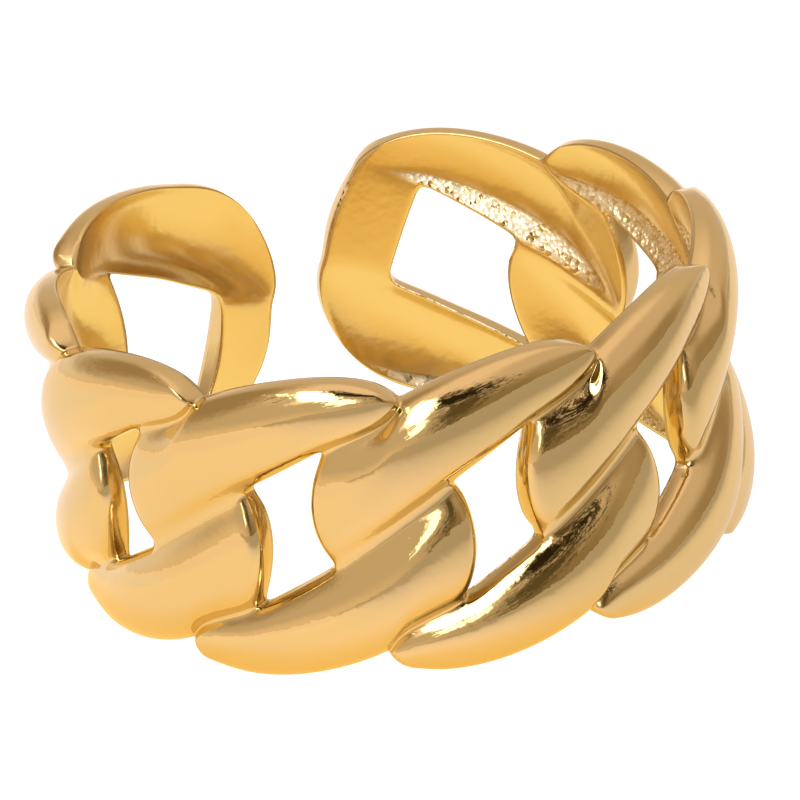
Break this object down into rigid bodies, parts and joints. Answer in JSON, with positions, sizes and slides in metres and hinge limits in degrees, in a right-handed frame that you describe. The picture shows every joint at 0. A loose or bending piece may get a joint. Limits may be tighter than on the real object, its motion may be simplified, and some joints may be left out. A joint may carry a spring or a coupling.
{
  "type": "adjustable chain-pattern finger ring",
  "caption": "Open adjustable finger ring: a domed, hollow-backed band of slanted chain links with pierced windows, each end closed by a flat bar.",
  "frame": {"origin": "on the axis of the finger opening, on the surface the ring lies on", "axes": "+Z along the axis of the finger opening, from the rim it lies on to the upper rim; -Y towards the front of the band, the gap between its ends is at the back on the left"},
  "size_m": [0.0197, 0.0197, 0.009],
  "materials": {
    "gold_plate": "polished gold plating on cast brass"
  },
  "bodies": {
    "root": {"ring_band": "gold_plate"}
  },
  "joints": []
}
